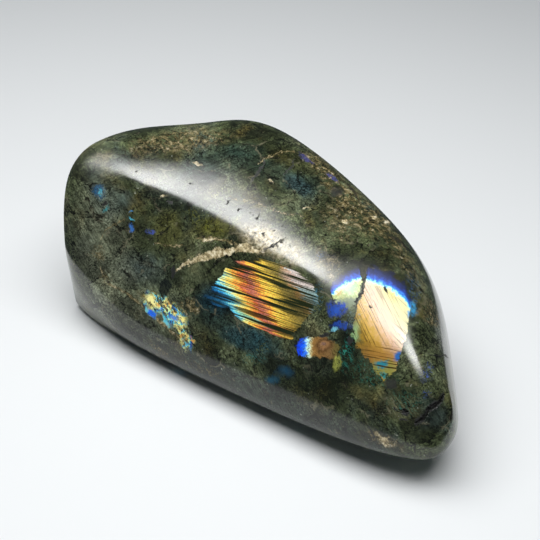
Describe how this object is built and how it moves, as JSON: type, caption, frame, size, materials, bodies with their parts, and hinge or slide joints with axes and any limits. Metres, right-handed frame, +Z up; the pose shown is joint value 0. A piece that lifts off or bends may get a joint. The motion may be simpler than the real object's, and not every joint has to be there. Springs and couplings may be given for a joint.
{
  "type": "standing labradorite freeform",
  "caption": "Polished freeform lump of labradorite that stands on a flat sawn base, with a leaning show face and a blunt nose.",
  "frame": {"origin": "on the surface the stone stands on, under the middle of its bounding box", "axes": "+X along the stone from the sawn end to the nose, +Z up, show face towards -Y"},
  "size_m": [0.227, 0.1228, 0.1021],
  "materials": {
    "labradorite_freeform": "polished dark feldspar rock with gold, orange and blue flash patches, honed base"
  },
  "bodies": {
    "root": {"labradorite_freeform": "labradorite_freeform"}
  },
  "joints": []
}
